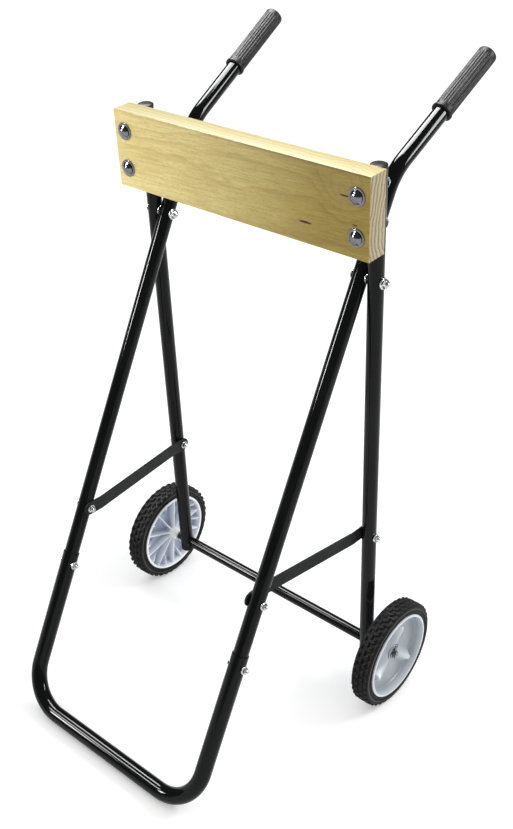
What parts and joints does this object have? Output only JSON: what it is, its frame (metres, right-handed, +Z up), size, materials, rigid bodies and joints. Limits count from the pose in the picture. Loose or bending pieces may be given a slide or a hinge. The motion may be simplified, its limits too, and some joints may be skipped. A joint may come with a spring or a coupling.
{
  "type": "outboard motor dolly",
  "caption": "Wheeled black tube dolly that carries a small outboard motor: a wooden clamping board, a U-shaped foot, side braces and handles with grips.",
  "frame": {"origin": "on the floor, under the middle of the object's bounding box", "axes": "+Z up, -Y to the front (the foot bar), +Y to the handles and wheels, +X to the right as seen from the front, looking along +Y"},
  "size_m": [0.596, 0.6982, 1.116],
  "materials": {
    "frame_paint": "gloss black paint or powder coat",
    "brace_paint": "satin dark grey coating",
    "wood": "pale planed softwood, clear varnish, satin",
    "grip_rubber": "matt dark grey moulded rubber",
    "tyre": "matt black rubber with a block tread",
    "hub_plastic": "pale grey moulded plastic, satin",
    "cap_plastic": "black moulded plastic",
    "zinc_steel": "bright zinc plate",
    "black_steel": "black finished steel"
  },
  "bodies": {
    "frame": {"axle_lock_screw_left": "black_steel", "axle_lock_screw_right": "black_steel", "axle_rod": "zinc_steel", "axle_washer_left": "zinc_steel", "axle_washer_right": "zinc_steel", "board_bolt_lower_left": "zinc_steel", "board_bolt_lower_right": "zinc_steel", "board_bolt_upper_left": "zinc_steel", "board_bolt_upper_right": "zinc_steel", "board_nut_lower_left": "zinc_steel", "board_nut_lower_right": "zinc_steel", "board_nut_upper_left": "zinc_steel", "board_nut_upper_right": "zinc_steel", "board_washer_lower_left": "zinc_steel", "board_washer_lower_right": "zinc_steel", "board_washer_upper_left": "zinc_steel", "board_washer_upper_right": "zinc_steel", "bottom_plug_left": "cap_plastic", "bottom_plug_right": "cap_plastic", "brace_front_bolt_left": "zinc_steel", "brace_front_bolt_right": "zinc_steel", "brace_front_nut_left": "zinc_steel", "brace_front_nut_right": "zinc_steel", "brace_left": "brace_paint", "brace_rear_bolt_left": "zinc_steel", "brace_rear_bolt_right": "zinc_steel", "brace_rear_nut_left": "zinc_steel", "brace_rear_nut_right": "zinc_steel", "brace_right": "brace_paint", "clamp_board": "wood", "cross_tube": "frame_paint", "foot_bolt_left": "zinc_steel", "foot_bolt_right": "zinc_steel", "foot_frame": "frame_paint", "foot_nut_left": "zinc_steel", "foot_nut_right": "zinc_steel", "front_leg_handle_left": "frame_paint", "front_leg_handle_right": "frame_paint", "grip_left": "grip_rubber", "grip_right": "grip_rubber", "hub_clip_left": "zinc_steel", "hub_clip_right": "zinc_steel", "pivot_bolt_left": "zinc_steel", "pivot_bolt_right": "zinc_steel", "pivot_nut_left": "zinc_steel", "pivot_nut_right": "zinc_steel", "pivot_washer_left": "zinc_steel", "pivot_washer_right": "zinc_steel", "rear_leg_left": "frame_paint", "rear_leg_right": "frame_paint", "top_cap_left": "cap_plastic", "top_cap_right": "cap_plastic", "wheel_spacer_left": "black_steel", "wheel_spacer_right": "black_steel"},
    "wheel_left": {"hub_left": "hub_plastic", "tyre_left": "tyre"},
    "wheel_right": {"hub_right": "hub_plastic", "tyre_right": "tyre"}
  },
  "joints": [
    {"name": "wheel_left_spin", "type": "hinge", "parent": "frame", "child": "wheel_left", "pos_m": [-0.279, 0.109, 0.101], "axis": [1, 0, 0], "continuous": true},
    {"name": "wheel_right_spin", "type": "hinge", "parent": "frame", "child": "wheel_right", "pos_m": [0.279, 0.109, 0.101], "axis": [1, 0, 0], "continuous": true}
  ]
}
